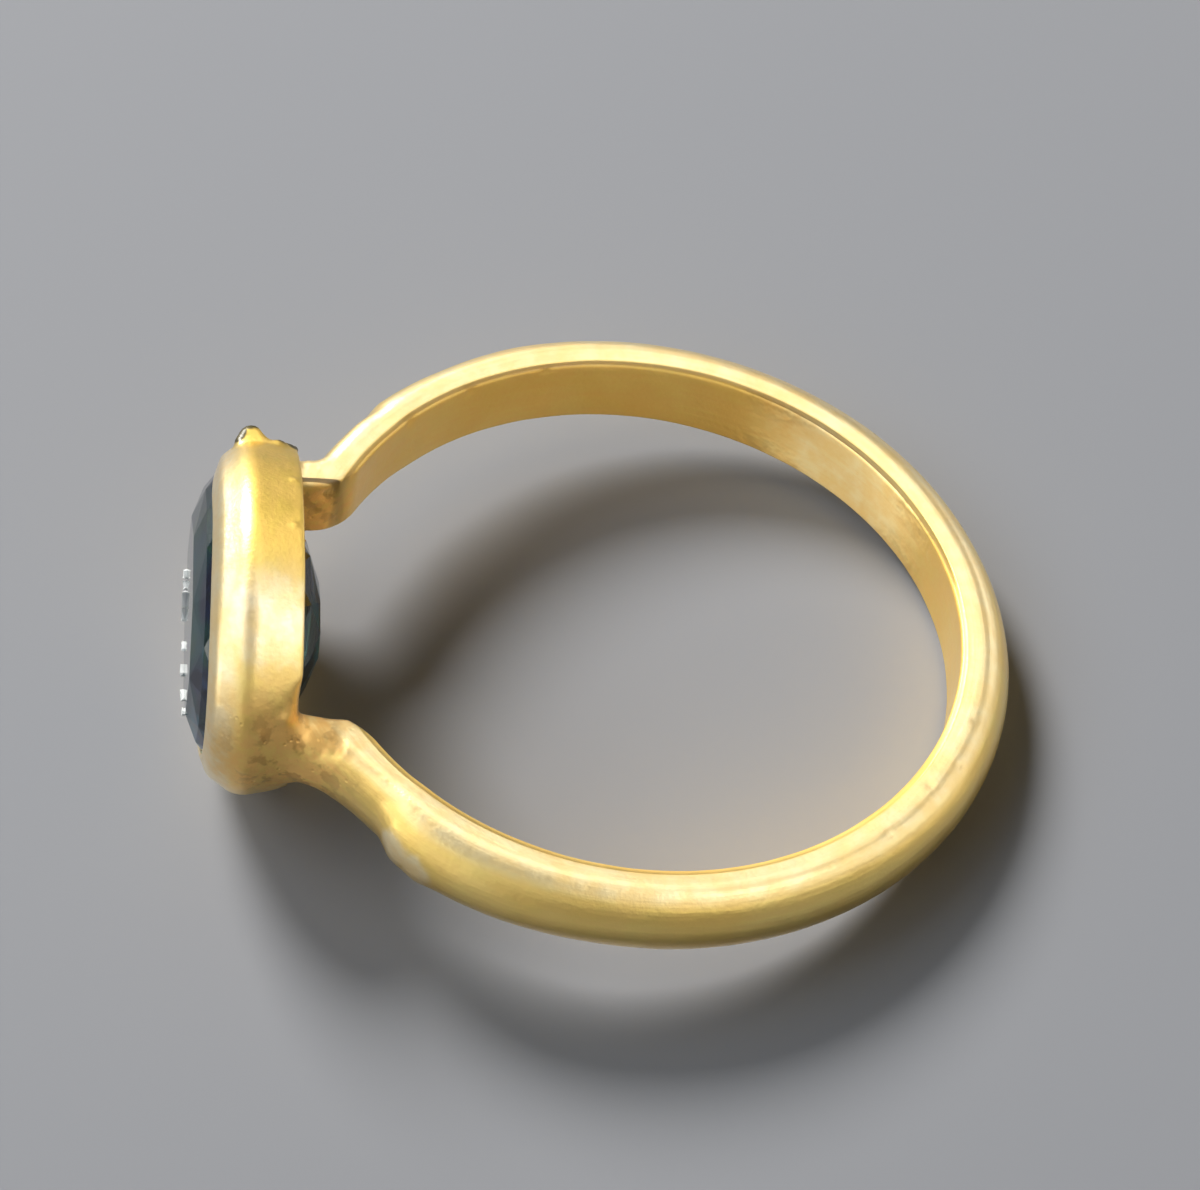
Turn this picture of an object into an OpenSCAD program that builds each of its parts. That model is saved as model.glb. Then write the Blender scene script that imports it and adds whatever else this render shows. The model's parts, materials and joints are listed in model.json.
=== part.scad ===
// A handmade gold ring with an oval faceted stone, lying on its side as it rests on a table.
// Millimetres, +Z up. The origin is on the surface under the middle of the ring.
// The bezel is at -X and the back of the band is at +X.

/* [Finger hole] */
// Inside diameter of the band
finger_d = 17.5; // [15:0.1:21]

/* [Band] */
// Width of the band along the finger
band_w = 2.3; // [2:0.1:3]
// Thickness of the band at its two edges
band_edge_t = 0.7; // [0.5:0.05:1]
// Thickness of the band at the top of its domed outside
band_mid_t = 1.35; // [1.2:0.05:1.7]
// Small bevel on the inner edges of the band
edge_break = 0.08; // [0.02:0.02:0.15]
// Angle from the back of the band to where each thinner shoulder starts
band_end_a = 136; // [135:1:140]

/* [Shoulders] */
// Width of each shoulder along the finger
shoulder_w = 2.2; // [1.7:0.1:2.2]
// Thickness of a shoulder at its two edges
shoulder_edge_t = 0.85; // [0.6:0.05:0.95]
// Thickness of a shoulder at the top of its dome
shoulder_mid_t = 1.15; // [1.05:0.05:1.25]
// Clear distance between the two shoulders
shoulder_gap = 7.7; // [7:0.1:8.4]
// Bend radius where the shoulder on the +Y side turns into the band
knee_r_plus_y = 1.6; // [1.4:0.1:2.4]
// Bend radius where the shoulder on the -Y side turns into the band
knee_r_minus_y = 2.4; // [1.4:0.1:2.4]

/* [Bezel] */
// Length of the bezel at its open back
bezel_l = 10.1; // [9.4:0.1:11]
// Width of the bezel at its open back
bezel_w = 7.5; // [7.1:0.1:7.7]
// Outside radius of the two ends of the oval, at the back
bezel_end_r = 2.9; // [2.7:0.1:3.1]
// Height of the bezel from its open back to its lip
bezel_h = 2.5; // [2.4:0.05:2.8]
// Distance from the middle of the finger hole to the back of the bezel
bezel_back = 9.3; // [9.2:0.05:9.6]
// Height of the rounded rim, down from the lip
rim_h = 1.1; // [0.6:0.05:1.3]
// How much the wall leans out on each side between the back and the rim
wall_lean = 0.25; // [0.1:0.05:0.35]
// Thickness of the thin wall that holds the girdle
wall_t = 0.42; // [0.4:0.02:0.5]
// Thickness of the wall below the seat
seat_t = 0.8; // [0.75:0.05:0.85]
// How far the lip is pushed over the stone, from the outside of the back
lip_in = 0.72; // [0.7:0.02:0.8]

/* [Stone] */
// Length of the stone's girdle
stone_l = 9.1; // [8.8:0.05:9.15]
// Width of the stone's girdle
stone_w = 6.46; // [6.3:0.02:6.5]
// Height of the girdle's lower edge above the back of the bezel
girdle_z = 2.16; // [2.1:0.02:2.2]
// Height of the girdle's own band
girdle_t = 0.1; // [0.06:0.02:0.12]
// Height of the crown from the girdle to the table
crown_h = 0.58; // [0.5:0.02:0.9]
// Width of the table as a share of the girdle's
table_share = 0.56; // [0.5:0.02:0.62]
// Depth of the pavilion below the girdle
pavilion_h = 2.68; // [2.4:0.02:2.7]
// Width of the blunt culet as a share of the girdle's
culet_share = 0.26; // [0.12:0.02:0.3]

/* [Hidden] */
$fn = 96;

// The band's inner radius and its domed section, whose arc passes through both edges.
finger_r = finger_d / 2;
function dome_r(w, edge_t, mid_t) =
    let (rise = mid_t - edge_t) (w * w / 4 + rise * rise) / (2 * rise);
band_dome_r = dome_r(band_w, band_edge_t, band_mid_t);

// Each stretch of a shoulder runs a little way into the next, which is slightly larger.
joint_in = 0.25;
joint_inset = 0.02;
joint_a = 1;

// A knee's centre: its arc touches the finger circle from outside and the shoulder's inner face.
function knee_y(r) = shoulder_gap / 2 + r;
function knee_x(r) = -sqrt(pow(finger_r + r, 2) - pow(knee_y(r), 2));
function knee_angle(r) = atan2(knee_y(r), knee_x(r));

// The bezel's oval: two end arcs and two side arcs that are tangent where they meet.
end_x = bezel_l / 2 - bezel_end_r;
half_w = bezel_w / 2;
side_r = (end_x * end_x + half_w * half_w - bezel_end_r * bezel_end_r)
    / (2 * (half_w - bezel_end_r));
side_y = side_r - half_w;
meet_a = atan2(side_y, end_x);

// The bezel wall's section: [outward from the oval, height above the open back].
back_break = 0.08;     // bevel on the edges of the open back
lip_t = 0.07;          // the lip's thin edge
seat_z = girdle_z - 0.1;
seat_slope = 0.45;     // how far the seat runs down from there
wall_outside = [
    [-0.6 * back_break, 0],
    [0, back_break],
    for (a = [0 : 22.5 : 90])
        [wall_lean - (wall_lean + lip_in) * (1 - cos(a)), bezel_h - rim_h * (1 - sin(a))],
];
wall_inside = [
    [-lip_in, bezel_h - lip_t],
    [-wall_t, girdle_z + girdle_t + 0.5 * lip_t],
    [-wall_t, seat_z],
    [-seat_t, seat_z - seat_slope],
    [-seat_t, back_break],
    [-seat_t + back_break, 0],
];

// At rest the ring leans until the bezel's lower side and the back of the band both touch.
foot_x = finger_r + band_edge_t;
foot_z = -band_w / 2;
tilt = max([for (p = wall_outside) atan2(half_w + p[0] + foot_z, foot_x + bezel_back + p[1])]);
function lean(p) = [p[0] * cos(tilt) + p[2] * sin(tilt), p[1], p[2] * cos(tilt) - p[0] * sin(tilt)];

// The stone's corners, for a round stone of radius 1 that is then drawn out to the oval.
// Each row of corners: [radius, height above the bezel's back, number, first angle].
crown_z = girdle_z + girdle_t;
table_z = crown_z + crown_h;
star_r = (table_share + 1) / 2;
star_z = crown_z + crown_h * (1 - star_r * cos(22.5)) / (1 - table_share);
tier_r = 0.6;          // the pavilion's steep tier ends here, level with the open back
tier_z = 0;
culet_z = girdle_z - pavilion_h;
stone_rows = [
    [table_share, table_z, 8, 0],
    [star_r, star_z, 8, 22.5],
    [1, crown_z, 16, 0],
    [1, girdle_z, 16, 0],
    [tier_r, tier_z, 8, 0],
    [culet_share, culet_z, 8, 0],
];
stone_points = [
    for (row = stone_rows, i = [0 : row[2] - 1])
        let (a = row[3] + i * 360 / row[2])
            [stone_l / 2 * row[0] * cos(a), stone_w / 2 * row[0] * sin(a), row[1]]
];
// The first corner of each row, in the same order
table = 0;
star = 8;
upper = 16;
lower = 32;
tier = 48;
culet = 56;
stone_faces = [
    [for (i = [7 : -1 : 0]) table + i],
    for (i = [0 : 7])
        // The next and last corners of eight, and this, the half-way and the next of sixteen
        let (n = (i + 1) % 8, b = (i + 7) % 8, g = 2 * i, h = 2 * i + 1, m = (2 * i + 2) % 16)
            each [
                [table + i, table + n, star + i],
                [table + i, star + i, upper + g, star + b],
                [star + i, upper + h, upper + g],
                [star + i, upper + m, upper + h],
                [upper + g, upper + h, lower + h, lower + g],
                [upper + h, upper + m, lower + m, lower + h],
                [lower + g, lower + h, tier + i],
                [lower + h, lower + m, tier + n],
                [lower + h, tier + n, tier + i],
                [tier + i, tier + n, culet + n, culet + i],
            ],
    [for (i = [0 : 7]) culet + i],
];

// The overall box, for the origin: the stone's table reaches furthest at -X.
x_min = min([for (p = stone_points) lean([-bezel_back - p[2], 0, -p[1]])[0]]);
x_max = (finger_r + band_mid_t - band_dome_r) * cos(tilt) + band_dome_r;
z_min = lean([foot_x, 0, foot_z])[2];

// Moves what is built round the finger hole's middle to where the ring rests.
module at_rest() {
    translate([-(x_min + x_max) / 2, 0, -z_min])
        rotate([0, tilt, 0])
            children();
}

// Turns what is built on the bezel's back, with its top up, to face away from the finger.
module on_bezel() {
    translate([-bezel_back, 0, 0])
        rotate([0, -90, 0])
            rotate([0, 0, 90])
                children();
}

// Flat inside at x = 0, flat edges and a domed outside
module strip_section(w, edge_t, mid_t) {
    r = dome_r(w, edge_t, mid_t);
    intersection() {
        polygon([
            [0, edge_break - w / 2], [edge_break, -w / 2], [mid_t, -w / 2],
            [mid_t, w / 2], [edge_break, w / 2], [0, w / 2 - edge_break],
        ]);
        translate([mid_t - r, 0])
            circle(r);
    }
}

// A shoulder's section, drawn in by the same amount on every side
module shoulder_section(inset) {
    translate([inset, 0])
        strip_section(shoulder_w - 2 * inset, shoulder_edge_t - 2 * inset, shoulder_mid_t - 2 * inset);
}

// The band from the start of one shoulder round the back to the start of the other
module band_loop() {
    rotate([0, 0, -band_end_a])
        rotate_extrude(angle = 2 * band_end_a)
            translate([finger_r, 0])
                strip_section(band_w, band_edge_t, band_mid_t);
}

// One shoulder, on the +Y side: along the finger, round its knee and straight to the bezel
module shoulder(knee_r) {
    rotate([0, 0, band_end_a - joint_a])
        rotate_extrude(angle = knee_angle(knee_r) + 2 * joint_a - band_end_a)
            translate([finger_r, 0])
                shoulder_section(0);
    translate([knee_x(knee_r), knee_y(knee_r), 0])
        rotate([0, 0, -90])
            rotate_extrude(angle = knee_angle(knee_r) - 90)
                translate([knee_r, 0])
                    mirror([1, 0])
                        shoulder_section(joint_inset);
    soldered_x = -bezel_back - joint_in;
    translate([soldered_x, shoulder_gap / 2, 0])
        rotate([90, 0, 90])
            linear_extrude(knee_x(knee_r) + joint_in / 2 - soldered_x)
                shoulder_section(2 * joint_inset);
}

// One arc of the bezel's wall round the point [x, y], from one angle to another
module wall_arc(x, y, r, from, to) {
    translate([x, y, 0])
        rotate([0, 0, from])
            rotate_extrude(angle = to - from)
                translate([r, 0])
                    polygon(concat(wall_outside, wall_inside));
}

module bezel_wall() {
    wall_arc(end_x, 0, bezel_end_r, -meet_a, meet_a);
    wall_arc(0, -side_y, side_r, meet_a, 180 - meet_a);
    wall_arc(-end_x, 0, bezel_end_r, 180 - meet_a, 180 + meet_a);
    wall_arc(0, side_y, side_r, 180 + meet_a, 360 - meet_a);
}

// The gold is one soldered piece: the band, its two shoulders and the bezel.
module band_and_bezel() {
    color("goldenrod")
        at_rest() {
            band_loop();
            shoulder(knee_r_plus_y);
            mirror([0, 1, 0])
                shoulder(knee_r_minus_y);
            on_bezel()
                bezel_wall();
        }
}

// A table, 8 star, 8 main and 16 girdle facets above, and two tiers of facets below
module kyanite() {
    color("darkslategray")
        at_rest()
            on_bezel()
                polyhedron(stone_points, stone_faces);
}

band_and_bezel();
kyanite();
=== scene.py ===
# A handmade gold ring with an oval kyanite in an open-backed bezel, as it lies on its side on a table.
# Metres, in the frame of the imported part: the bezel is at -X and the back of the band at +X.
import json
import math

import bmesh
import bpy
import numpy as np
from mathutils import Matrix, Vector


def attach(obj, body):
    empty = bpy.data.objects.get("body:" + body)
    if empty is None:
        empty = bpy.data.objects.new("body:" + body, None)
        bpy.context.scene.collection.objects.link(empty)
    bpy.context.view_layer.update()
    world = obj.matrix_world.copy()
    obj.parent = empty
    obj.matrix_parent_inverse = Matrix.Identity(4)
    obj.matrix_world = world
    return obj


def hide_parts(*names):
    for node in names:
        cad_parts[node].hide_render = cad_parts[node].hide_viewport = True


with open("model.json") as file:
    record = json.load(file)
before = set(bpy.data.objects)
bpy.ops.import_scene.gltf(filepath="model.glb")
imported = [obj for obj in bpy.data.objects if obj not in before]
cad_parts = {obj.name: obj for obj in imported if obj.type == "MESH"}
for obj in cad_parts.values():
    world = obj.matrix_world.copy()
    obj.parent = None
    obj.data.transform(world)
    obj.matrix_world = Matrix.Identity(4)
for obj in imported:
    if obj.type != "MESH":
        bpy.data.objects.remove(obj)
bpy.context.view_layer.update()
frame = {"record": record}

# The camera looks down at the ring from the photograph's side, a hand's breadth away, through a long lens.
# Sizes are given in millimetres from here on, and MM turns them into Blender's metres.
MM = 0.001
camera_azimuth, camera_elevation = math.radians(-3.60), math.radians(50.39)
camera_distance = 120 * MM
looked_at = Vector((0.240, 1.310, 2.462)) * MM
away = Vector((
    math.sin(camera_azimuth) * math.cos(camera_elevation),
    -math.cos(camera_azimuth) * math.cos(camera_elevation),
    math.sin(camera_elevation),
))
camera_data = bpy.data.cameras.new("camera")
camera_data.lens, camera_data.sensor_width = 132.2, 36
camera_data.clip_start, camera_data.clip_end = 5 * MM, 5.0
camera = bpy.data.objects.new("camera", camera_data)
camera.location = looked_at + away * camera_distance
camera.rotation_euler = (-away).to_track_quat("-Z", "Y").to_euler()
bpy.context.scene.collection.objects.link(camera)
bpy.context.scene.camera = camera
bpy.context.scene.view_settings.view_transform = "Standard"

# The table is a wide sheet of matt pale grey paper, and the ring lies on it on its side.
# It belongs to the studio and not to the ring.
floor_half = 0.6   # metres
floor_mesh = bpy.data.meshes.new("table")
floor_mesh.from_pydata(
    [(-floor_half, -floor_half, 0), (floor_half, -floor_half, 0), (floor_half, floor_half, 0),
     (-floor_half, floor_half, 0)], [], [(0, 1, 2, 3)])
floor = bpy.data.objects.new("table", floor_mesh)
bpy.context.scene.collection.objects.link(floor)
paper = bpy.data.materials.new("matt paper")
paper.use_nodes = True
paper_shader = paper.node_tree.nodes["Principled BSDF"]
paper_shader.inputs["Base Color"].default_value = (0.415, 0.42, 0.44, 1)
paper_shader.inputs["Roughness"].default_value = 0.9
paper_shader.inputs["Specular IOR Level"].default_value = 0.1
floor_mesh.materials.append(paper)

# The light is a window-like softbox behind the ring on its left, with dimmer white panels on all sides.
# Most of the panels only show in the gold and the stone, and leave the table as it is.
panel_distance = 0.5   # metres


def panel(name, azimuth, elevation, size, watts, seen_by_table=True, colour=(1.0, 0.985, 0.96)):
    """A round light. Its azimuth is counted from straight behind the ring, towards the right."""
    light = bpy.data.lights.new(name, "AREA")
    light.shape, light.size, light.energy, light.color = "DISK", size, watts, colour
    lamp = bpy.data.objects.new(name, light)
    turn, up = math.radians(azimuth), math.radians(elevation)
    towards = Vector((math.sin(turn) * math.cos(up), math.cos(turn) * math.cos(up), math.sin(up)))
    lamp.location = towards * panel_distance
    lamp.rotation_euler = towards.to_track_quat("Z", "Y").to_euler()
    lamp.visible_diffuse = seen_by_table
    bpy.context.scene.collection.objects.link(lamp)


panel("softbox", -27, 38, 0.20, 2.50)
panel("left", -78, 45, 0.40, 0.63, colour=(0.93, 0.96, 1.0))
panel("front_left", 236, 38, 0.35, 0.27, colour=(0.86, 0.93, 1.0))
panel("back_right", 30, 53, 0.26, 0.27, seen_by_table=False)
panel("back_low", 5, 22, 0.25, 0.17, seen_by_table=False)
panel("back_left_low", -24, 5, 0.25, 0.17, seen_by_table=False)
panel("front", 180, 40, 0.40, 0.13, seen_by_table=False)
panel("front_right", 140, 42, 0.40, 0.35, seen_by_table=False)
panel("right", 90, 22, 0.40, 0.43, seen_by_table=False)
panel("right_high", 115, 58, 0.22, 0.30, seen_by_table=False)
panel("top", 60, 76, 0.26, 0.15, seen_by_table=False)
panel("left_low", -95, 12, 0.25, 0.32, seen_by_table=False)
panel("front_left_low", -135, 8, 0.30, 0.16, seen_by_table=False)
panel("back_right_low", 52, 8, 0.25, 0.24, seen_by_table=False)

# The room is dim and cool on the table, and its pale warm walls show in the gold and the stone.
# Its colour and the ring's finishes are worked out with wires between nodes.
dim, shown = 0.04, 0.14   # the walls' strength everywhere, and what is added in reflections
cool_walls, warm_walls = (0.62, 0.78, 1.0, 1), (1.0, 0.95, 0.90, 1)


class Wire:
    """One output of a node. Numbers add, subtract, multiply and divide; node() adds any other node."""

    def __init__(self, tree, socket=None):
        self.tree, self.socket = tree, socket

    def node(self, kind, settings=None, sockets=None, out=0):
        made = self.tree.nodes.new(kind)
        for name, value in (settings or {}).items():
            setattr(made, name, value)
        for key, value in (sockets or {}).items():
            wanted = made.inputs[key] if isinstance(key, int) else next(
                s for s in made.inputs if s.identifier == key)
            if isinstance(value, Wire):
                value.into(wanted)
            else:
                wanted.default_value = value
        found = made.outputs[out] if isinstance(out, int) else next(
            s for s in made.outputs if s.identifier == out)
        return Wire(self.tree, found)

    def into(self, wanted):
        self.tree.links.new(self.socket, wanted)

    def maths(self, operation, *values):
        return self.node("ShaderNodeMath", {"operation": operation}, dict(enumerate(values)))

    def vector(self, operation, *values, out=0):
        return self.node("ShaderNodeVectorMath", {"operation": operation}, dict(enumerate(values)), out)

    def scaled(self, by):
        """This vector times a number."""
        return self.node("ShaderNodeVectorMath", {"operation": "SCALE"}, {"Vector": self, "Scale": by})

    def axes(self):
        """This vector's three numbers."""
        split = self.node("ShaderNodeSeparateXYZ", {}, {0: self})
        return [Wire(self.tree, number) for number in split.socket.node.outputs]

    def ramp(self, low, high, to_low=0.0, to_high=1.0):
        """A smooth step of this number from low to high."""
        return self.node("ShaderNodeMapRange", {"interpolation_type": "SMOOTHSTEP"}, {
            "Value": self, "From Min": low, "From Max": high, "To Min": to_low, "To Max": to_high})

    def larger(self, other): return self.maths("MAXIMUM", self, other)
    def smaller(self, other): return self.maths("MINIMUM", self, other)
    def __add__(self, other): return self.maths("ADD", self, other)
    def __radd__(self, other): return self.maths("ADD", other, self)
    def __sub__(self, other): return self.maths("SUBTRACT", self, other)
    def __rsub__(self, other): return self.maths("SUBTRACT", other, self)
    def __mul__(self, other): return self.maths("MULTIPLY", self, other)
    def __rmul__(self, other): return self.maths("MULTIPLY", other, self)
    def __truediv__(self, other): return self.maths("DIVIDE", self, other)
    def __rtruediv__(self, other): return self.maths("DIVIDE", other, self)


def blend(factor, first, second):
    return factor.node("ShaderNodeMix", {"data_type": "RGBA"}, {
        "Factor_Float": factor, "A_Color": first, "B_Color": second}, "Result_Color")


room = bpy.data.worlds.new("room")
room.use_nodes = True
bpy.context.scene.world = room
walls = room.node_tree.nodes["Background"]
reflected = Wire(room.node_tree).node("ShaderNodeLightPath", out="Is Glossy Ray")
blend(reflected, cool_walls, warm_walls).into(walls.inputs["Color"])
(reflected * shown + dim).into(walls.inputs["Strength"])

# The gold is one soldered piece. The band was forged from strip, domed outside and flat inside, and
# thinned to the two shoulders that turn out at their knees. The bezel is a bent strip, burnished over
# the stone, and stands on the ends of the shoulders.
hole = frame["record"]["mounts"][0]
finger_axis, finger_middle = Vector(hole["axis"]), Vector(hole["pos_m"])
to_back = Vector((0, 1, 0)).cross(finger_axis)
ring_place = Matrix((to_back, (0, 1, 0), finger_axis)).transposed().to_4x4()
ring_place.translation = finger_middle
finger_r = hole["dims"]["r_mm"]
band_w, band_edge, band_middle, band_ridge_r = 2.3, 0.70, 1.35, 0.60
shoulder_w, shoulder_edge, shoulder_middle, shoulder_ridge_r = 2.2, 0.85, 1.15, 0.50
shoulder_half_gap, bezel_back, into_bezel = 3.85, 9.3, 0.25
band_end, shoulder_start = math.radians(132.5), math.radians(138.5)
knees = {1: 1.6, -1: 2.4}   # bend radius of each, by its side
bezel_half_l, bezel_half_w, bezel_end_r = 5.05, 3.75, 2.9


def outline(corners, sides):
    """A closed section of the metal: corners (x, y, radius, steps), each side cut into that many."""
    arcs = []
    for i, (x, y, radius, steps) in enumerate(corners):
        corner = np.array((x, y))
        a = np.array(corners[i - 1][:2]) - corner
        b = np.array(corners[(i + 1) % len(corners)][:2]) - corner
        a, b = a / np.linalg.norm(a), b / np.linalg.norm(b)
        half = 0.5 * math.acos(np.clip(a @ b, -1, 1))
        reach = radius / math.tan(half)
        middle = (a + b) / np.linalg.norm(a + b) * radius / math.sin(half) + corner
        start, end = corner + a * reach - middle, corner + b * reach - middle
        turn = math.pi - 2 * half
        arcs.append([
            middle + (start * math.sin((1 - t) * turn) + end * math.sin(t * turn)) / math.sin(turn)
            for t in np.linspace(0, 1, steps + 1)])
    points = []
    for i, arc in enumerate(arcs):
        after = arcs[(i + 1) % len(arcs)][0]
        points += arc
        points += [arc[-1] + (after - arc[-1]) * t for t in np.linspace(0, 1, sides[i] + 1)[1:-1]]
    return np.array(points)


def strip(width, edge, middle, ridge_r):
    """The band's section: x outward from the finger, y along it. Its edge faces fall towards the finger."""
    slope, inner_r, flat_left = 0.10, 0.12, 0.03
    rise, half = middle - edge, width / 2
    dome_r = (half * half + rise * rise) / (2 * rise)
    dome_x = middle - dome_r
    fan = math.atan2(half, edge - dome_x)
    ridge_turn = math.pi / 2 - fan + math.atan2(slope, edge)
    dome_r -= (ridge_r * math.tan(ridge_turn / 2) + flat_left) / math.tan(fan)
    peak = dome_x + (middle - dome_x) / math.cos(fan)
    return outline([
        (0, slope - half, inner_r, 5), (edge, -half, ridge_r, 6), (peak, 0, dome_r, 26),
        (edge, half, ridge_r, 6), (0, half - slope, inner_r, 5)], [6, 1, 1, 6, 18])


def smooth(value, low, high):
    t = np.clip((np.asarray(value, float) - low) / (high - low), 0, 1)
    return t * t * (3 - 2 * t)


def bend(centre, radius, start, end, step=0.08):
    """Points on an arc in the ring's plane, in millimetres and radians, without its last point."""
    count = max(2, round(abs(end - start) * radius / step))
    angles = np.linspace(start, end, count + 1)[:-1]
    return np.column_stack((centre[0] + radius * np.cos(angles), centre[1] + radius * np.sin(angles)))


def wire_of(name, points, closed, **facts):
    """A run of edges with a number or a point stored at each place along it."""
    mesh = bpy.data.meshes.new(name)
    count = len(points)
    edges = [(i, i + 1) for i in range(count - 1)] + ([(count - 1, 0)] if closed else [])
    mesh.from_pydata([(x * MM, y * MM, 0) for x, y in points], edges, [])
    for fact, values in facts.items():
        values = np.asarray(values, np.float32)
        if values.ndim == 1:
            mesh.attributes.new(fact, "FLOAT", "POINT").data.foreach_set("value", values)
        else:
            flat = np.column_stack((values * MM, np.zeros(count))).astype(np.float32)
            mesh.attributes.new(fact, "FLOAT_VECTOR", "POINT").data.foreach_set("vector", flat.ravel())
    run = bpy.data.objects.new(name, mesh)
    bpy.context.scene.collection.objects.link(run)
    return run


# The band's line runs along its inner face, from the near shoulder round the back to the far one.
near_cuts, far_cuts = 5, 8   # of each shoulder's straight end
knee_middle = {
    side: np.array((
        -math.sqrt((finger_r + r) ** 2 - (shoulder_half_gap + r) ** 2), side * (shoulder_half_gap + r)))
    for side, r in knees.items()}
near_turn = math.atan2(-knee_middle[-1][1], -knee_middle[-1][0])
far_turn = math.atan2(-knee_middle[1][1], -knee_middle[1][0])
tail = -bezel_back - into_bezel
near_straight = np.column_stack((
    np.linspace(tail, knee_middle[-1][0], near_cuts + 1)[:-1], np.full(near_cuts, -shoulder_half_gap)))
far_straight = np.column_stack((
    np.linspace(knee_middle[1][0], tail, far_cuts + 1), np.full(far_cuts + 1, shoulder_half_gap)))
band_line = np.vstack((
    near_straight,
    bend(knee_middle[-1], knees[-1], math.pi / 2, near_turn),
    bend((0, 0), finger_r, near_turn - math.pi, far_turn + math.pi),
    bend(knee_middle[1], knees[1], far_turn, -math.pi / 2),
    far_straight))
band_angle = np.arctan2(band_line[:, 1], band_line[:, 0])
as_shoulder = smooth(abs(band_angle), band_end, shoulder_start)

# The tree draws a section along a line, lets it change on the way, and dents it as a hammer does.
sweep_tree = bpy.data.node_groups.new("swept metal", "GeometryNodeTree")
for name, kind in (("Line", "NodeSocketGeometry"), ("Section", "NodeSocketObject"),
                   ("Hammer depth", "NodeSocketFloat"), ("Hammer mark", "NodeSocketFloat"),
                   ("Seed", "NodeSocketFloat"), ("Metal", "NodeSocketMaterial")):
    sweep_tree.interface.new_socket(name, in_out="INPUT", socket_type=kind)
sweep_tree.interface.new_socket("Piece", in_out="OUTPUT", socket_type="NodeSocketGeometry")
sweep_inputs = sweep_tree.nodes.new("NodeGroupInput")
given = {s.name: Wire(sweep_tree, s) for s in sweep_inputs.outputs if s.name}
sweep = Wire(sweep_tree)


def stored(name, kind="FLOAT_VECTOR"):
    return sweep.node("GeometryNodeInputNamedAttribute", {"data_type": kind}, {"Name": name})


def keep(shape, name, value):
    return sweep.node("GeometryNodeStoreNamedAttribute", {"data_type": "FLOAT_VECTOR", "domain": "POINT"},
                      {"Geometry": shape, "Name": name, "Value": value})


line = sweep.node("GeometryNodeMeshToCurve", {}, {"Mesh": given["Line"]})
outward = sweep.vector("NORMALIZE", sweep.vector(
    "CROSS_PRODUCT", sweep.node("GeometryNodeInputTangent"), (0.0, 0.0, 1.0)))
line = keep(keep(line, "place", sweep.node("GeometryNodeInputPosition")), "outward", outward)
section = sweep.node("GeometryNodeObjectInfo", {}, {"Object": given["Section"]}, "Geometry")
section = sweep.node("GeometryNodeMeshToCurve", {}, {"Mesh": section})
section = keep(section, "cut", sweep.node("GeometryNodeInputPosition"))
swept = sweep.node("GeometryNodeCurveToMesh", {}, {
    "Curve": line, "Profile Curve": section, "Fill Caps": True})
cut_out, cut_across, _ = sweep.node("ShaderNodeMix", {"data_type": "VECTOR", "clamp_factor": False}, {
    "Factor_Float": stored("change", "FLOAT"), "A_Vector": stored("cut"), "B_Vector": stored("cut_at_end")},
    "Result_Vector").axes()
moved = sweep.vector("ADD", stored("place"), stored("outward").scaled(cut_out * stored("thick", "FLOAT")))
moved = sweep.vector("ADD", moved, sweep.node("ShaderNodeCombineXYZ", {}, {"Z": cut_across}))
swept = sweep.node("GeometryNodeSetPosition", {}, {"Geometry": swept, "Position": moved})


def dented(shape, mark, depth, seed):
    """Moves the surface in and out along its normal, as uneven hammering leaves it."""
    noise = sweep.node("ShaderNodeTexNoise", {"noise_dimensions": "4D"}, {
        "Vector": sweep.node("GeometryNodeInputPosition"), "W": seed, "Scale": 1.0 / mark, "Detail": 1.0})
    by = sweep.node("GeometryNodeInputNormal").scaled((noise - 0.5) * depth)
    return sweep.node("GeometryNodeSetPosition", {}, {"Geometry": shape, "Offset": by})


swept = dented(swept, given["Hammer mark"], given["Hammer depth"], given["Seed"])
swept = dented(swept, given["Hammer mark"] * 3.0, given["Hammer depth"] * 1.5, given["Seed"] + 5.0)
swept = sweep.node("GeometryNodeSetShadeSmooth", {}, {"Geometry": swept})
swept = sweep.node("GeometryNodeRealizeInstances", {}, {"Geometry": swept})
swept = sweep.node("GeometryNodeSetMaterial", {}, {"Geometry": swept, "Material": given["Metal"]})
swept.into(sweep_tree.nodes.new("NodeGroupOutput").inputs["Piece"])

gold = bpy.data.materials.new("satin gold")
gold.use_nodes = True


def run_tree(piece, tree, **values):
    """Puts a tree on a piece, and gives the plain mesh that comes out of it."""
    modifier = piece.modifiers.new(tree.name, "NODES")
    modifier.node_group = tree
    for socket in tree.interface.items_tree:
        if socket.in_out == "INPUT" and socket.name.replace(" ", "_") in values:
            modifier[socket.identifier] = values[socket.name.replace(" ", "_")]
    bpy.context.view_layer.update()
    seen = piece.evaluated_get(bpy.context.evaluated_depsgraph_get())
    mesh = bpy.data.meshes.new_from_object(seen)
    piece.modifiers.remove(modifier)
    return mesh


# Hand forging left the band's thickness uneven, here as a share of it by the angle from its back: the near
# side is fuller with a waist before its shoulder, and the far side is a little thinner there.
near, far = band_angle < 0, band_angle > 0
degrees = np.degrees(abs(band_angle))
thick = np.ones(len(band_line))
thick += near * (0.10 * smooth(degrees, 96, 124) + 0.10 * smooth(degrees, 142, 152))
thick -= near * 0.15 * smooth(degrees, 127, 137) * (1 - smooth(degrees, 140, 150))
thick -= near * 0.34 * smooth(-band_line[:, 0], 9.2, 9.5)
thick -= far * 0.06 * smooth(degrees, 105, 122) * (1 - smooth(degrees, 134, 140))
band_section = strip(band_w, band_edge, band_middle, band_ridge_r)
shoulder_section = strip(shoulder_w, shoulder_edge, shoulder_middle, shoulder_ridge_r)
section_wire = wire_of("band_section", band_section, True, cut_at_end=shoulder_section)
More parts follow.
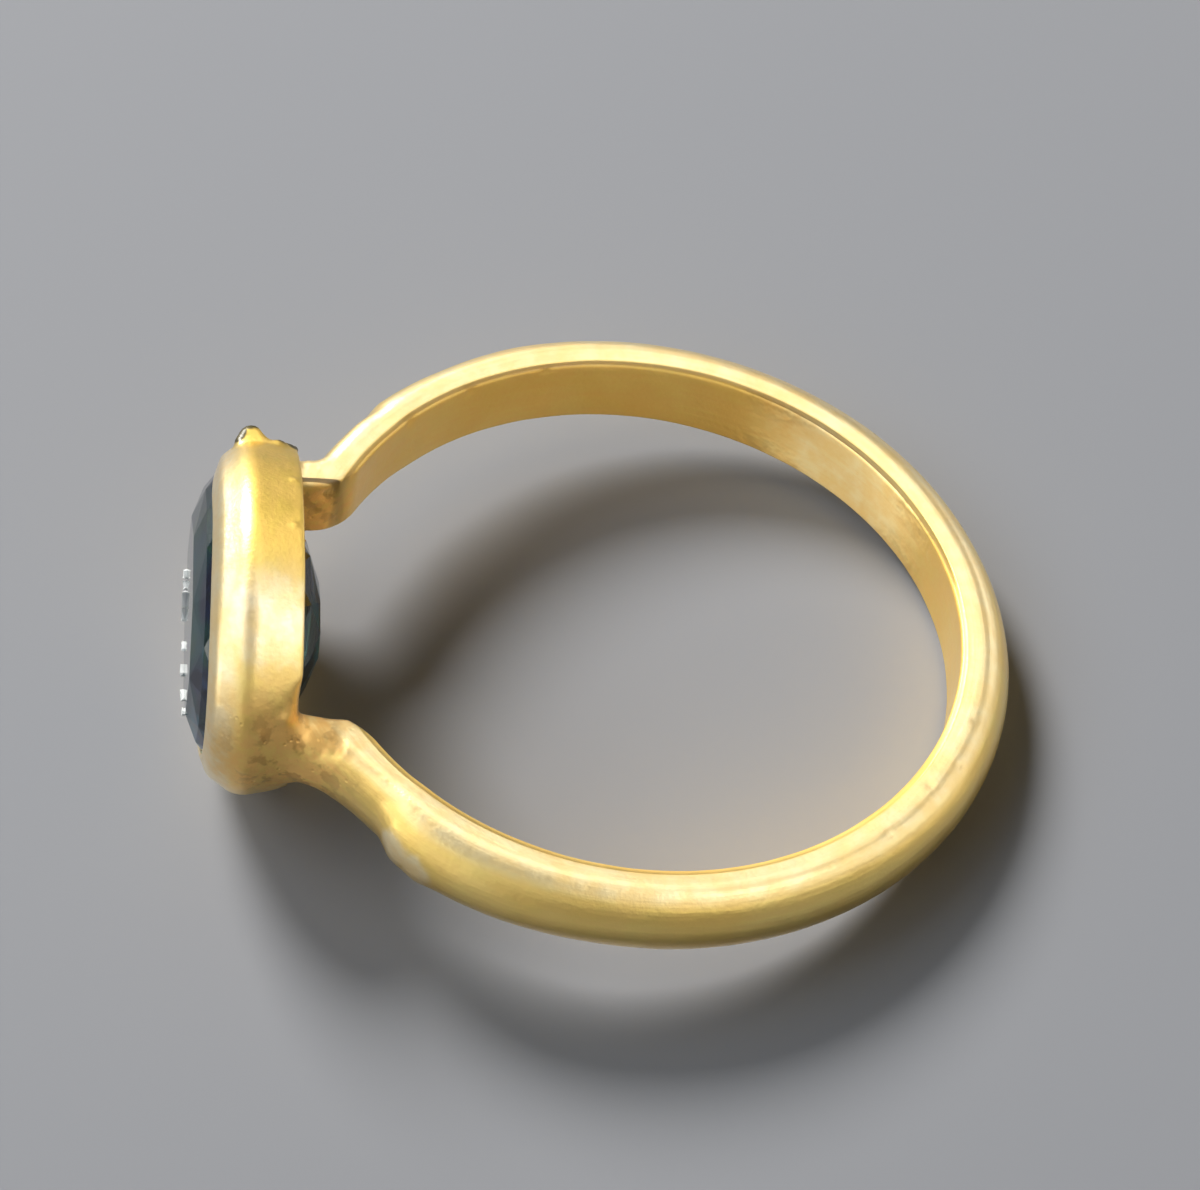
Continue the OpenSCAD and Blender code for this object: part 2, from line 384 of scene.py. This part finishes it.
line_wire = wire_of("band_line", band_line, False, change=as_shoulder, thick=thick)
band_mesh = run_tree(
    line_wire, sweep_tree, Section=section_wire, Hammer_depth=0.02 * MM, Hammer_mark=0.9 * MM, Seed=3.0,
    Metal=gold)
band_mesh.transform(ring_place)

# The bezel's line runs round the outside of its open back, and its rim is lower towards the far end.
# The corners of its wall are (outward, height, radius, steps).
end_x = bezel_half_l - bezel_end_r
side_r = (end_x ** 2 + bezel_half_w ** 2 - bezel_end_r ** 2) / (2 * (bezel_half_w - bezel_end_r))
side_y = side_r - bezel_half_w
meet = math.atan2(side_y, end_x)
bezel_line = np.vstack((
    bend((end_x, 0), bezel_end_r, -meet, meet),
    bend((0, -side_y), side_r, meet, math.pi - meet),
    bend((-end_x, 0), bezel_end_r, math.pi - meet, math.pi + meet),
    bend((0, side_y), side_r, math.pi + meet, 2 * math.pi - meet)))
inside = [(-0.44, 1.96, 0.03, 2), (-0.44, 1.76, 0.03, 2), (-0.80, 1.30, 0.05, 2), (-0.80, 0, 0.08, 3)]
wall_cuts = [12, 4, 3, 2, 4, 3, 6, 14, 6]
wall_near = outline([
    (0, 0, 0.09, 4), (0.23, 1.45, 0.80, 8), (-0.28, 2.20, 0.55, 7), (-0.82, 2.43, 0.06, 4),
    (-0.82, 2.10, 0.03, 2), *inside], wall_cuts)
wall_far = outline([
    (0, 0, 0.09, 4), (0.20, 1.40, 0.70, 8), (-0.30, 1.98, 0.45, 7), (-0.86, 2.16, 0.05, 4),
    (-0.86, 2.04, 0.02, 2), *inside], wall_cuts)
towards_far = 0.25 * smooth(bezel_line[:, 0], -2.5, 2.0) + 0.75 * smooth(bezel_line[:, 0], 2.0, 5.0)
wall_wire = wire_of("bezel_section", wall_near, True, cut_at_end=wall_far)
oval_wire = wire_of("bezel_line", bezel_line, True, change=towards_far, thick=np.ones(len(bezel_line)))
bezel_mesh = run_tree(
    oval_wire, sweep_tree, Section=wall_wire, Hammer_depth=0.012 * MM, Hammer_mark=0.8 * MM, Seed=11.0,
    Metal=gold)
on_bezel = Matrix(((0, 0, -1, -bezel_back * MM), (1, 0, 0, 0), (0, -1, 0, 0), (0, 0, 0, 1)))
bezel_mesh.transform(ring_place @ on_bezel)

band_piece = bpy.data.objects.new("gold_ring", band_mesh)
bezel_piece = bpy.data.objects.new("bezel", bezel_mesh)
for piece in (band_piece, bezel_piece):
    bpy.context.scene.collection.objects.link(piece)

# Solder joins the shoulders to the bezel's back and rounds the corners between them. It ran further on the
# near side, and left the metal lumpy.
solder_tree = bpy.data.node_groups.new("soldered", "GeometryNodeTree")
for name, kind in (("Band", "NodeSocketGeometry"), ("Bezel", "NodeSocketObject"),
                   ("Far reach", "NodeSocketFloat"), ("Near reach", "NodeSocketFloat"),
                   ("Roughness", "NodeSocketFloat"), ("Seed", "NodeSocketFloat")):
    solder_tree.interface.new_socket(name, in_out="INPUT", socket_type=kind)
solder_tree.interface.new_socket("Ring", in_out="OUTPUT", socket_type="NodeSocketGeometry")
solder_inputs = solder_tree.nodes.new("NodeGroupInput")
given = {s.name: Wire(solder_tree, s) for s in solder_inputs.outputs if s.name}
join = Wire(solder_tree)
bezel_shape = join.node("GeometryNodeObjectInfo", {}, {"Object": given["Bezel"]}, "Geometry")
joined = solder_tree.nodes.new("GeometryNodeMeshBoolean")
joined.operation, joined.solver = "UNION", "EXACT"
given["Band"].into(joined.inputs["Mesh 2"])
bezel_shape.into(joined.inputs["Mesh 2"])
ring = Wire(solder_tree, joined.outputs["Mesh"])
seam_line = join.node("GeometryNodeSeparateGeometry", {"domain": "EDGE"}, {
    "Geometry": ring, "Selection": Wire(solder_tree, joined.outputs["Intersecting Edges"])})
distance = join.node("GeometryNodeProximity", {"target_element": "EDGES"}, {"Target": seam_line}, "Distance")
far_side = join.node("GeometryNodeInputPosition").axes()[1].ramp(-1 * MM, 1 * MM)
reach = far_side * given["Far reach"] + (1.0 - far_side) * given["Near reach"]
ring = join.node("GeometryNodeStoreNamedAttribute", {"data_type": "FLOAT", "domain": "POINT"}, {
    "Geometry": ring, "Name": "solder", "Value": (distance / reach).ramp(0.2, 1.0, 1.0, 0.0)})
near_seam = join.node("GeometryNodeInputNamedAttribute", {"data_type": "FLOAT"}, {"Name": "solder"})
rounded = join.node("GeometryNodeBlurAttribute", {"data_type": "FLOAT_VECTOR"}, {
    "Value": join.node("GeometryNodeInputPosition"), "Iterations": 70, "Weight": near_seam}, "Value")
ring = join.node("GeometryNodeSetPosition", {}, {"Geometry": ring, "Position": rounded})
lumps = join.node("ShaderNodeTexNoise", {"noise_dimensions": "4D"}, {
    "Vector": join.node("GeometryNodeInputPosition"), "W": given["Seed"], "Scale": 1 / (0.4 * MM),
    "Detail": 2.0})
raised = join.node("GeometryNodeInputNormal").scaled((lumps - 0.5) * near_seam * given["Roughness"])
ring = join.node("GeometryNodeSetPosition", {}, {"Geometry": ring, "Offset": raised})
ring = join.node("GeometryNodeSetShadeSmooth", {}, {"Geometry": ring})
ring = join.node("GeometryNodeRealizeInstances", {}, {"Geometry": ring})
ring = join.node("GeometryNodeSetMaterial", {}, {"Geometry": ring, "Material": gold})
ring.into(solder_tree.nodes.new("NodeGroupOutput").inputs["Ring"])
band_piece.data = run_tree(
    band_piece, solder_tree, Bezel=bezel_piece, Far_reach=0.35 * MM, Near_reach=1.3 * MM,
    Roughness=0.06 * MM, Seed=2.0)
bpy.data.objects.remove(bezel_piece)
for wire in (section_wire, line_wire, wall_wire, oval_wire):
    bpy.data.objects.remove(wire)

# Small marks of making and wear: a burr on the lip, drops of solder, pits and dents. Each is (place along
# the ring's u, v and n, how far it spreads, height), all in millimetres.
marks = [
    (-10.68, 4.24, 2.32, 0.24, 0.36), (-10.42, 4.26, 2.30, 0.20, 0.28), (-10.90, 4.04, 2.42, 0.15, 0.20),
    (-10.22, 4.12, 2.42, 0.20, 0.17), (-9.80, 4.02, 2.44, 0.24, 0.19), (-9.50, 4.12, 2.24, 0.20, 0.09),
    (-9.25, 4.35, 1.85, 0.20, 0.08), (-10.00, 3.70, 2.70, 0.40, 0.05), (-9.51, 1.77, 3.52, 0.09, 0.05),
    (-9.57, -0.03, 3.79, 0.08, 0.05), (-10.34, -4.98, 1.18, 0.11, 0.06), (-10.76, -5.24, 0.01, 0.10, 0.05),
    (-9.71, -4.71, 1.50, 0.16, 0.05), (-8.95, -4.95, 1.05, 0.12, -0.05), (-8.64, -5.00, 1.00, 0.11, -0.06),
    (-8.39, -5.24, 0.95, 0.11, -0.05), (-8.75, -5.20, 0.75, 0.11, -0.05), (-9.20, -5.10, 0.80, 0.13, -0.04),
    (-8.35, 3.90, 0.55, 0.16, -0.06), (-8.65, 3.90, -0.10, 0.20, -0.05), (-6.01, 6.36, 0.95, 0.14, -0.05),
    (-4.27, 7.64, 0.92, 0.16, -0.05), (-2.12, 8.49, 0.95, 0.12, -0.05), (-3.65, -9.53, -0.06, 0.12, -0.04),
    (7.26, -5.78, 1.13, 0.10, -0.03), (8.17, -5.02, 1.05, 0.10, -0.03), (6.02, -7.43, 1.08, 0.12, -0.03),
    (8.74, -3.56, 1.15, 0.10, -0.03), (-6.95, -7.70, -0.60, 0.42, 0.10), (-6.30, -8.22, -0.62, 0.42, 0.09)]
ring_mesh = band_piece.data
count = len(ring_mesh.vertices)
at, facing = np.empty(count * 3, np.float32), np.empty(count * 3, np.float32)
ring_mesh.vertices.foreach_get("co", at)
ring_mesh.vertex_normals.foreach_get("vector", facing)
at, facing = at.reshape(-1, 3), facing.reshape(-1, 3)
in_ring = (at - np.array(finger_middle)) @ np.array(ring_place.to_3x3()) / MM
for *mark, spread, height in marks:
    off = np.linalg.norm(in_ring - mark, axis=1) / spread
    at += facing * (height * MM * np.exp(-off * off))[:, None].astype(np.float32)
ring_mesh.vertices.foreach_set("co", at.ravel())
ring_mesh.update()
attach(band_piece, "root")
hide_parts("band_and_bezel")

# The gold's surface, in millimetres along the ring's own axes: worn pale with painted highlights and painted
# shade, with brown in the solder and the hollows, fine scratches that run round the band, and small pits.
bright, bright_too, cream = (0.96, 0.72, 0.21, 1), (0.94, 0.67, 0.17, 1), (1.0, 0.87, 0.56, 1)
shade_yellow, rusty, brown_end = (0.84, 0.58, 0.11, 1), (0.96, 0.60, 0.19, 1), (0.66, 0.42, 0.14, 1)
dark_stain, dark_burr = (0.52, 0.30, 0.09, 1), (0.09, 0.075, 0.03, 1)
gold_shader = gold.node_tree.nodes["Principled BSDF"]
paint = Wire(gold.node_tree)
spot = paint.node("ShaderNodeMapping", {"vector_type": "TEXTURE"}, {
    "Vector": paint.node("ShaderNodeTexCoord", out="Object"), "Location": finger_middle,
    "Rotation": (0, math.atan2(finger_axis.x, finger_axis.z), 0), "Scale": (MM, MM, MM)})


def mottle(vector, size, detail=2.0):
    return vector.node("ShaderNodeTexNoise", {}, {"Vector": vector, "Scale": 1 / size, "Detail": detail})


def near_spot(place, inner, outer, ragged=1.2):
    """One inside a round place on the ring, nought outside, with a ragged edge."""
    distance = spot.vector("DISTANCE", spot, place, out=1)
    return (distance + ragged * (mottle(spot, 0.5) - 0.5)).ramp(outer, inner)


u, v, n = spot.axes()
radius = paint.vector("LENGTH", paint.node("ShaderNodeCombineXYZ", {}, {"X": u, "Y": v}), out=1)
scratches = mottle(paint.node("ShaderNodeCombineXYZ", {}, {
    "X": paint.maths("ARCTAN2", v, u) * 2.4, "Y": radius * 5.0, "Z": n * 5.0}), 1.0, 3.0)
broad, patches, grain = mottle(spot, 2.6), mottle(spot, 0.7, 4.0), mottle(spot, 0.12, 3.0)

# Places that look different: the two solder joints, the burr, the bezel's ends, the inside faces, the
# painted shade on the bezel's wall, and pale spots that are partly wear and partly painted highlight.
soldered = near_spot((-9.6, -5.1, 0.4), 0.6, 2.6).larger(0.6 * near_spot((-8.7, 3.9, -0.2), 0.8, 1.3))
end_brown = near_spot((-10.3, -4.8, 0.9), 0.9, 2.3, 0.8)
burr = near_spot((-10.56, 4.80, 2.88), 0.52, 0.64, 0.3)
for place in ((-11.02, 4.28, 2.62), (-9.80, 4.30, 2.82), (-9.58, 4.24, 2.70), (-9.32, 4.26, 2.36),
              (-9.10, 4.42, 1.85)):
    burr = burr.larger(near_spot(place, 0.33, 0.43, 0.2))
on_bezel_part = u.ramp(-8.9, -9.5)
# Painted shade: the upper part of the bezel's wall is painted a darker, deeper yellow, and its coat is
# thinned there, where it should reflect less light.
shaded_wall = on_bezel_part * u.ramp(-10.9, -10.5) * v.ramp(-2.2, -0.4) * n.ramp(0.5, 2.0)
inside_band = radius.ramp(8.95, 8.78) * u.ramp(-8.6, -8.2)
shoulder_inside = u.ramp(-7.7, -8.1) * u.ramp(-9.22, -9.12) * v.ramp(4.08, 3.92) * v.ramp(3.0, 3.5)
# The bright patch on the band's inside face: its bump tilts it towards the light, and it is painted pale,
# partly as a highlight.
burnished_and_lit = inside_band * near_spot((6.4, 5.9, 0.0), 1.2, 4.0, 0.6)
# A painted highlight: a pale cream patch low on the near shoulder's outer face.
shoulder_highlight = near_spot((-6.80, -7.65, 0.0), 0.35, 0.65, 0.5).larger(
    near_spot((-6.25, -8.10, -0.15), 0.35, 0.65, 0.5))
# Pale cream on the band's edge faces and the bezel's rim is partly worn gold and partly painted highlight.
# The spot on the bezel's wall and the patch on the near shoulder are painted highlights, and the patch
# inside the band is partly painted highlight too.
pale_wear_and_highlight = paint.maths("ABSOLUTE", n).ramp(0.80, 1.06) * radius.ramp(8.9, 9.0) * (1.0 - on_bezel_part) * 0.75
pale_wear_and_highlight = pale_wear_and_highlight.larger(u.ramp(-10.8, -11.3)).larger(near_spot((-10.35, -2.7, 3.25), 0.5, 1.9) * 1.3)
pale_wear_and_highlight = pale_wear_and_highlight.larger(0.9 * shoulder_highlight).larger(0.7 * burnished_and_lit)
pale_wear_and_highlight = (pale_wear_and_highlight * (0.55 + 0.9 * (patches - 0.3))).smaller(1.0)
worn = (patches * 0.6 + scratches * 0.4).ramp(0.40, 0.62)
brown = ((1.0 - worn) * (0.25 + 0.75 * soldered) + 0.25 * soldered).smaller(1.0)
stains = 0.65 * soldered * mottle(spot, 0.5, 3.0).ramp(0.50, 0.60)

colour = blend(broad.ramp(0.35, 0.65), bright, bright_too)
for amount, tint in (
        (pale_wear_and_highlight, cream), (0.85 * shaded_wall, shade_yellow), (brown, rusty), (0.30 * end_brown, brown_end),
        (stains, dark_stain), (burr, dark_burr)):
    colour = blend(amount, colour, tint)
colour.into(gold_shader.inputs["Base Color"])
gold_shader.inputs["Metallic"].default_value = 1.0
rough = 0.40 + 0.16 * (grain - 0.5) + 0.10 * brown + 0.2 * burr + 0.26 * (inside_band + shoulder_inside)
rough.into(gold_shader.inputs["Roughness"])
sheen = (1.0 - 0.8 * shaded_wall - 0.7 * soldered - 0.1 * end_brown).larger(0.0)
sheen.into(gold_shader.inputs["Coat Weight"])
gold_shader.inputs["Coat Roughness"].default_value = 0.26
gold_shader.inputs["Coat IOR"].default_value = 1.45

# The relief, in steps of 0.02 mm: scratches, patches, grain, pits in the solder, and the inside faces' tilt
# across their width.
relief_step = 0.02 * MM
pits = paint.node("ShaderNodeTexVoronoi", {}, {"Vector": spot, "Scale": 3.2}, 0).ramp(0.05, 0.22)
relief = (0.7 - 0.55 * on_bezel_part) * scratches + 0.8 * patches + 0.35 * grain + 0.8 * pits * soldered
inside_fall = 8.0 - 6.0 * v.ramp(3.0, 0.0) * u.ramp(6.0, 8.0) + 32.0 * burnished_and_lit
relief = relief - n * (inside_band * inside_fall + 14.0 * shoulder_inside)
bump = paint.node("ShaderNodeBump", {}, {"Strength": 1.0, "Distance": relief_step, "Height": relief})
bump.into(gold_shader.inputs["Normal"])

# The stone is an oval kyanite with a low stepped crown and a blunt pavilion that shows through the open
# back. It lies on the seat inside the bezel, held down by the lip.
stone_half_l, stone_half_w = 4.55, 3.23
crown_from, crown_lean = 2.0, -0.015   # the crown and table were cut a little out of level
stone_rows = [   # share of the girdle in length and width, height, off middle, corners, first corner
    (0.67, 0.60, 2.78, -0.05, 8, 0.5), (0.85, 0.83, 2.48, 0, 16, 0.0), (0.93, 0.92, 2.17, 0, 16, 0.5),
    (1.0, 1.0, 1.92, 0, 32, 0.0), (1.0, 1.0, 1.86, 0, 32, 0.0), (0.86, 0.85, 1.15, 0, 16, 0.5),
    (0.66, 0.62, 0.12, -0.10, 16, 0.0), (0.49, 0.465, -0.37, 0.13, 8, 0.5),
    (0.27, 0.25, -0.67, -0.12, 8, 0.0)]
stone_mesh = bpy.data.meshes.new("stone")
cutting = bmesh.new()
for share_l, share_w, height, off, corners, first in stone_rows:
    for i in range(corners):
        turn = 2 * math.pi * (i + first) / corners
        along = stone_half_l * share_l * math.cos(turn) + off
        across = stone_half_w * share_w * math.sin(turn)
        lean = crown_lean * along if height > crown_from else 0.0
        cutting.verts.new((along * MM, across * MM, (height + lean) * MM))
bmesh.ops.convex_hull(cutting, input=cutting.verts)
spare = [corner for corner in cutting.verts if not corner.link_faces]
bmesh.ops.delete(cutting, geom=spare, context="VERTS")
bmesh.ops.dissolve_limit(cutting, angle_limit=math.radians(1.0), verts=cutting.verts, edges=cutting.edges)

# The table's lower edge is chipped, with a rough grain left standing at each chip, nearly white: partly
# frosted stone and partly a painted glint. Each chip is (along the stone from, to, how wide).
chips = [
    (2.32, 2.16, 0.05), (2.04, 1.92, 0.05), (1.82, 1.50, 0.06), (1.44, 1.18, 0.06),
    (0.40, 0.16, 0.06), (-0.40, -0.68, 0.07), (-1.30, -1.85, 0.06), (-2.55, -2.82, 0.05)]
table_from, grain_edge, facet_edge = 2.6, 0.012, 0.012
grain_moves = (-0.045, -0.03, 0.04), (0.045, 0.03, 0.11)   # least and most of a corner's move


def on_table_edge(edge):
    return min(corner.co.z for corner in edge.verts) > table_from * MM and sum(
        corner.co.y for corner in edge.verts) > 0


for edge in [e for e in cutting.edges if on_table_edge(e)]:
    here, end = sorted(edge.verts, key=lambda corner: -corner.co.x)
    for stop in sorted((x for chip in chips for x in chip[:2]), reverse=True):
        if end.co.x < stop * MM < here.co.x:
            rest = next(e for e in here.link_edges if end in e.verts)
            here = bmesh.utils.edge_split(rest, here, (here.co.x - stop * MM) / (here.co.x - end.co.x))[1]
uneven = np.random.default_rng(4)
for high, low, width in chips:
    chipped = [
        e for e in cutting.edges if len(e.link_faces) == 2 and on_table_edge(e)
        and low * MM < sum(corner.co.x for corner in e.verts) / 2 < high * MM]
    broken = bmesh.ops.bevel(
        cutting, geom=chipped, offset=width * MM, segments=1, affect="EDGES", material=1)
    grain_faces = [face for face in broken["faces"] if face.material_index == 1]
    if grain_faces:
        for face in bmesh.ops.inset_region(cutting, faces=grain_faces, thickness=grain_edge * MM)["faces"]:
            face.material_index = 1
        raised_corners = {corner for face in grain_faces for corner in face.verts}
        for corner in sorted(raised_corners, key=lambda corner: tuple(corner.co)):
            corner.co += Vector(uneven.uniform(*grain_moves)) * MM
sharp = [e for e in cutting.edges if e.calc_face_angle() > math.radians(4)
         and not any(face.material_index for face in e.link_faces)]
bmesh.ops.bevel(
    cutting, geom=sharp, offset=facet_edge * MM, segments=1, affect="EDGES", clamp_overlap=True)
bmesh.ops.recalc_face_normals(cutting, faces=cutting.faces)
cutting.to_mesh(stone_mesh)
cutting.free()
stone_mesh.transform(ring_place @ on_bezel)

# The kyanite is clear and dark, in zones of navy, teal and green. The chips are rough and nearly white:
# partly frosted and partly a painted glint.
navy, teal, green = (0.014, 0.018, 0.080, 1), (0.018, 0.085, 0.105, 1), (0.040, 0.120, 0.085, 1)
kyanite = bpy.data.materials.new("kyanite")
kyanite.use_nodes = True
kyanite_shader = kyanite.node_tree.nodes["Principled BSDF"]
crystal = Wire(kyanite.node_tree)
zone = mottle(crystal.node("ShaderNodeMapping", {"vector_type": "TEXTURE"}, {
    "Vector": crystal.node("ShaderNodeTexCoord", out="Object"), "Scale": (MM, MM, MM)}), 1.6, 1.0)
zone_colour = blend(zone.ramp(0.35, 0.50), navy, teal)
blend(zone.ramp(0.52, 0.66), zone_colour, green).into(kyanite_shader.inputs["Base Color"])
kyanite_shader.inputs["Roughness"].default_value = 0.05
kyanite_shader.inputs["IOR"].default_value = 1.72
kyanite_shader.inputs["Transmission Weight"].default_value = 0.85
stone_mesh.materials.append(kyanite)
chip_frost_and_glint = bpy.data.materials.new("chipped edge")
chip_frost_and_glint.use_nodes = True
chip_frost_and_glint_shader = chip_frost_and_glint.node_tree.nodes["Principled BSDF"]
chip_frost_and_glint_shader.inputs["Base Color"].default_value = (0.93, 0.95, 0.92, 1)
chip_frost_and_glint_shader.inputs["Roughness"].default_value = 0.45
stone_mesh.materials.append(chip_frost_and_glint)
stone = bpy.data.objects.new("cut_stone", stone_mesh)
bpy.context.scene.collection.objects.link(stone)
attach(stone, "root")
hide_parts("kyanite")
